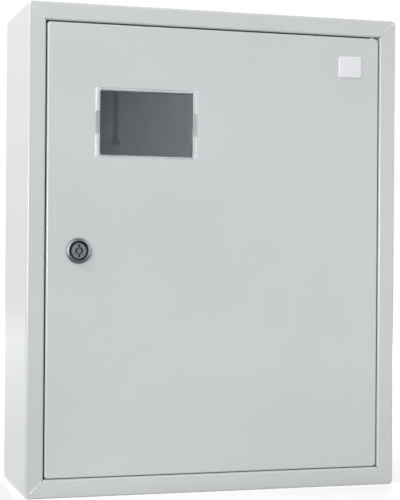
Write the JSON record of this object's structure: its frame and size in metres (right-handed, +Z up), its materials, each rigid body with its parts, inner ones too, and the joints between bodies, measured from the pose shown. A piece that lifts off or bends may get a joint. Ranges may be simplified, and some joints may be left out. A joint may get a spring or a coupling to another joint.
{
  "type": "electric meter box",
  "caption": "Wall-hung sheet-steel electric meter box with a flush hinged door, snap-in reading window, quarter-turn lock, and a plate, rail and terminal bars inside.",
  "frame": {"origin": "middle of the four wall holes, on the back face of the casing", "axes": "+X to the right seen from the front, +Y into the wall, +Z up; the door faces -Y"},
  "size_m": [0.4, 0.144, 0.5],
  "materials": {
    "grey_paint": "light grey powder coat, satin",
    "zinc_sheet": "zinc-plated sheet",
    "zinc_fastener": "zinc-plated",
    "brass_bar": "drawn brass",
    "terminal_screw": "zinc-plated",
    "blue_plastic": "moulded, satin",
    "green_plastic": "moulded, satin",
    "clear_plastic": "clear moulding, polished",
    "white_badge": "blank white tablet",
    "lock_chrome": "bright chrome on a die casting",
    "lock_metal": "plain die casting",
    "lock_steel": "zinc-plated"
  },
  "bodies": {
    "casing": {"casing": "grey_paint", "mounting_plate": "zinc_sheet", "plate_studs": "zinc_fastener", "plate_washers": "zinc_fastener", "plate_nuts": "zinc_fastener", "din_rail": "zinc_sheet", "rail_screws": "zinc_fastener", "neutral_bar": "brass_bar", "neutral_bar_feet": "blue_plastic", "neutral_bar_screws": "terminal_screw", "earth_bar": "brass_bar", "earth_bar_feet": "green_plastic", "earth_bar_screws": "terminal_screw", "bar_feet_screws": "zinc_fastener", "casing_earth_stud": "zinc_fastener", "casing_earth_washer": "zinc_fastener", "casing_earth_nut": "zinc_fastener", "hinge_pin_top": "zinc_fastener", "hinge_pin_bottom": "zinc_fastener"},
    "door": {"door": "grey_paint", "door_earth_stud": "zinc_fastener", "door_earth_washer": "zinc_fastener", "door_earth_nut": "zinc_fastener", "meter_window": "clear_plastic", "door_badge": "white_badge", "lock_housing": "lock_chrome", "lock_nut": "lock_steel"},
    "lock": {"lock_rotor": "lock_metal", "lock_cam": "lock_steel", "cam_washer": "zinc_fastener", "cam_screw": "zinc_fastener"}
  },
  "joints": [
    {"name": "door_hinge", "type": "hinge", "parent": "casing", "child": "door", "pos_m": [0.174, -0.135, 0], "axis": [0, 0, 1], "range_deg": [0, 115]},
    {"name": "lock_turn", "type": "hinge", "parent": "door", "child": "lock", "pos_m": [-0.1472, -0.14, -0.0007], "axis": [0, 1, 0], "range_deg": [0, 90]}
  ]
}
